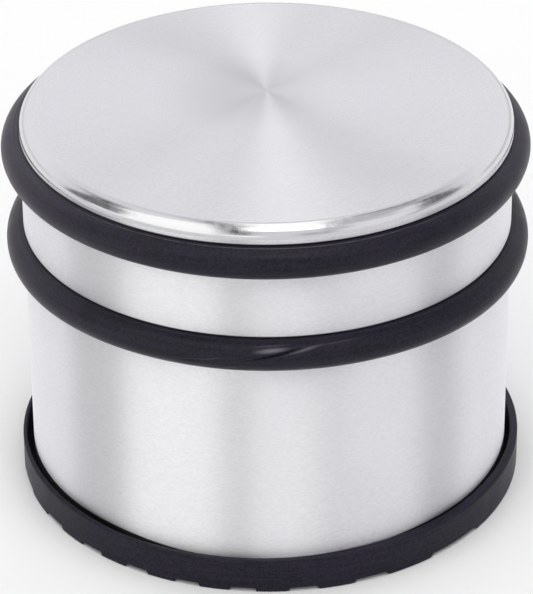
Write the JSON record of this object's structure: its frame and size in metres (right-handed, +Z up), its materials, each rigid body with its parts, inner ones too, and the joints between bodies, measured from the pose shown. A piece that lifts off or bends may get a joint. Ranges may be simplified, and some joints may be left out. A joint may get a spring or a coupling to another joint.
{
  "type": "door stop",
  "caption": "Weighted floor door stop: brushed steel drum with rubber bumper rings round it and a ribbed rubber foot.",
  "frame": {"origin": "on the floor, under the middle of the door stop: the centre of the bottom of its bounding box", "axes": "+Z up along the drum's axis; -Y towards the viewer's side; the tread ribs run 22 degrees off the Y axis"},
  "size_m": [0.0855, 0.0854, 0.066],
  "materials": {
    "brushed_steel": "brushed",
    "bumper_rubber": "matte",
    "foot_rubber": "matte",
    "felt": "matte",
    "natural_plastic": "satin",
    "zinc_plate": "satin",
    "iron": "matte",
    "board": "matte",
    "tape": "matte"
  },
  "bodies": {
    "root": {"outer_shell": "brushed_steel", "upper_bumper_ring": "bumper_rubber", "lower_bumper_ring": "bumper_rubber", "rubber_foot": "foot_rubber", "crown_pad": "felt", "crown_spacer": "natural_plastic", "centre_stud": "zinc_plate", "ballast_disc_1": "iron", "ballast_disc_2": "iron", "ballast_disc_3": "iron", "board_sleeve": "board", "base_plate": "zinc_plate", "flat_washer": "zinc_plate", "spring_washer": "zinc_plate", "hex_nut": "zinc_plate", "foot_adhesive": "tape"}
  },
  "joints": []
}
